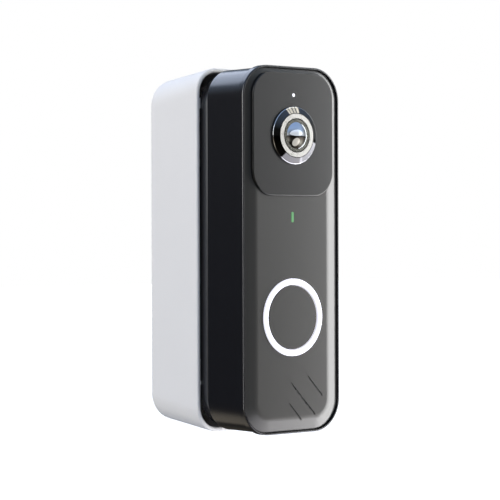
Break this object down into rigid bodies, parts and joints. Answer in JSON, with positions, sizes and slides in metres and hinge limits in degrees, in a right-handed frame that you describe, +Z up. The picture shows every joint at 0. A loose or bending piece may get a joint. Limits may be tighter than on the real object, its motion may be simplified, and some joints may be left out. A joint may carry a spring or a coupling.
{
  "type": "video doorbell",
  "caption": "Battery video doorbell: a camera and push button unit that slides forward off a hollow wall base and carries a removable battery.",
  "frame": {"origin": "centre of the base's rear face, in the plane of the wall", "axes": "+X to the right as the visitor sees it, +Y into the wall, +Z up; the camera and button face -Y"},
  "size_m": [0.0492, 0.0666, 0.1406],
  "materials": {
    "white_shell": "fine satin moulded texture",
    "black_shell": "smooth black with a soft gloss",
    "grey_face": "dark grey with a satin gloss",
    "dark_plate": "dark grey, smooth satin",
    "bezel_chrome": "black chrome, polished",
    "silver_ring": "turned satin",
    "grey_ring": "satin grey-green",
    "optical_glass": "coated, polished",
    "filter_glass": "coated, cyan tint",
    "sensor_glass": "glossy sensor cover",
    "black_plastic": "matt black",
    "battery_plastic": "fine matt black",
    "switch_plastic": "matt red-brown",
    "milky_plastic": "milky white",
    "light_ring": "milky white, lit",
    "status_light": "clear green-white, lit",
    "led_resin": "clear resin",
    "circuit_board": "solder mask",
    "flex_film": "amber film",
    "foam": "closed-cell foam",
    "black_rubber": "matt",
    "clear_silicone": "milky silicone",
    "speaker_paper": "pressed cone",
    "cell_sleeve": "shrink sleeve over a metal can",
    "brass": "gold plated",
    "zinc_steel": "zinc plated",
    "shield_steel": "tinned",
    "magnet_steel": "nickel plated"
  },
  "bodies": {
    "wall_base": {"base_shell": "white_shell", "wall_gasket": "foam", "cable_grommet": "black_rubber", "terminal_block": "black_plastic", "terminal_screws": "zinc_steel"},
    "camera_unit": {"body_shell": "black_shell", "case_gasket": "black_rubber", "case_screws": "zinc_steel", "front_cover": "grey_face", "camera_plate": "dark_plate", "lens_bezel": "bezel_chrome", "lens_ring": "silver_ring", "lens_retaining_ring": "grey_ring", "lens_barrel": "black_plastic", "inner_lenses": "optical_glass", "front_lens": "optical_glass", "lens_holder": "black_plastic", "image_sensor": "sensor_glass", "camera_board": "circuit_board", "camera_connector": "black_plastic", "ir_board": "circuit_board", "ir_emitters": "led_resin", "light_sensor": "led_resin", "light_sensor_lens": "milky_plastic", "status_light_pipe": "status_light", "status_led": "led_resin", "light_ring": "light_ring", "button_membrane": "clear_silicone", "button_frame": "black_plastic", "ring_board": "circuit_board", "ring_leds": "led_resin", "tact_switch": "black_plastic", "ring_flex": "flex_film", "main_board": "circuit_board", "board_screws": "zinc_steel", "shield_can": "shield_steel", "antenna": "flex_film", "speaker_frame": "black_plastic", "speaker_cone": "speaker_paper", "speaker_magnet": "magnet_steel", "speaker_gasket": "foam", "microphone": "shield_steel", "microphone_gasket": "black_rubber", "contact_block": "black_plastic", "contact_springs": "brass"},
    "battery_pack": {"battery_case": "battery_plastic", "battery_contacts": "brass", "battery_slide_plate": "battery_plastic", "battery_cells": "cell_sleeve", "battery_board": "circuit_board"},
    "push_button": {"button_cap": "grey_face"},
    "switch_plunger": {"switch_plunger": "switch_plastic"},
    "night_filter": {"ir_cut_frame": "black_plastic", "ir_cut_glass": "filter_glass", "clear_glass": "optical_glass"}
  },
  "joints": [
    {"name": "unit_release", "type": "slide", "parent": "wall_base", "child": "camera_unit", "axis": [0, -1, 0], "range_m": [0, 0.045]},
    {"name": "battery_release", "type": "slide", "parent": "camera_unit", "child": "battery_pack", "axis": [0, 0, -1], "range_m": [0, 0.02]},
    {"name": "button_press", "type": "slide", "parent": "camera_unit", "child": "push_button", "axis": [0, 1, 0], "range_m": [0, 0.0005], "stiffness_N_per_m": 5000, "springref_m": -0.0003},
    {"name": "switch_press", "type": "slide", "parent": "camera_unit", "child": "switch_plunger", "axis": [0, 1, 0], "range_m": [0, 0.0005]},
    {"name": "night_filter_shift", "type": "slide", "parent": "camera_unit", "child": "night_filter", "axis": [1, 0, 0], "range_m": [0, 0.0064]}
  ],
  "couplings": [
    {"joint": "switch_press", "follows": "button_press", "ratio": 1}
  ]
}
